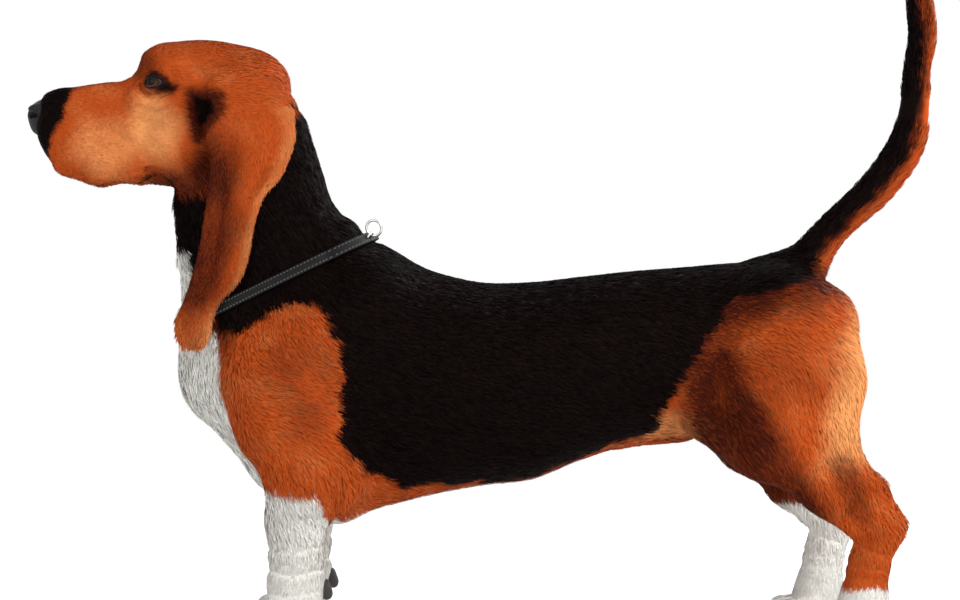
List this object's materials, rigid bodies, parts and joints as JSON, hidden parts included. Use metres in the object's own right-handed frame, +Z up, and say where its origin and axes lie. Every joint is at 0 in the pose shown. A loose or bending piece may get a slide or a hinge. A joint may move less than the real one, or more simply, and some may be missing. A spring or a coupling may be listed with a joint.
{
  "type": "basset hound model",
  "caption": "Life-size still model of a standing tricolour basset hound with long hanging ears, raised tail and a strap collar with a ring.",
  "frame": {"origin": "on the floor, under the middle of the model's box", "axes": "+Z up, the nose towards -X, the left side towards -Y"},
  "size_m": [0.8653, 0.2526, 0.6516],
  "materials": {
    "coat_black": "short glossy black hair",
    "coat_tan": "short red-tan hair",
    "coat_white": "short white hair",
    "nose": "damp pebbled black skin",
    "eye": "wet dark brown",
    "strap": "dark grey strap",
    "ring": "bright wire"
  },
  "bodies": {
    "root": {"torso": "coat_black", "neck": "coat_black", "collar": "strap", "collar_ring": "ring", "nose": "nose", "lower_jaw": "coat_tan", "head": "coat_tan", "eye_left": "eye", "eye_right": "eye", "ear_left": "coat_tan", "ear_right": "coat_tan", "foreleg_left": "coat_white", "foreleg_right": "coat_white", "forepaw_left": "coat_white", "forepaw_right": "coat_white", "hind_leg_left": "coat_tan", "hind_leg_right": "coat_tan", "rear_pastern_left": "coat_white", "rear_pastern_right": "coat_white", "hindpaw_left": "coat_white", "hindpaw_right": "coat_white", "tail_root": "coat_black", "tail_middle": "coat_black", "tail_tip": "coat_white"}
  },
  "joints": []
}
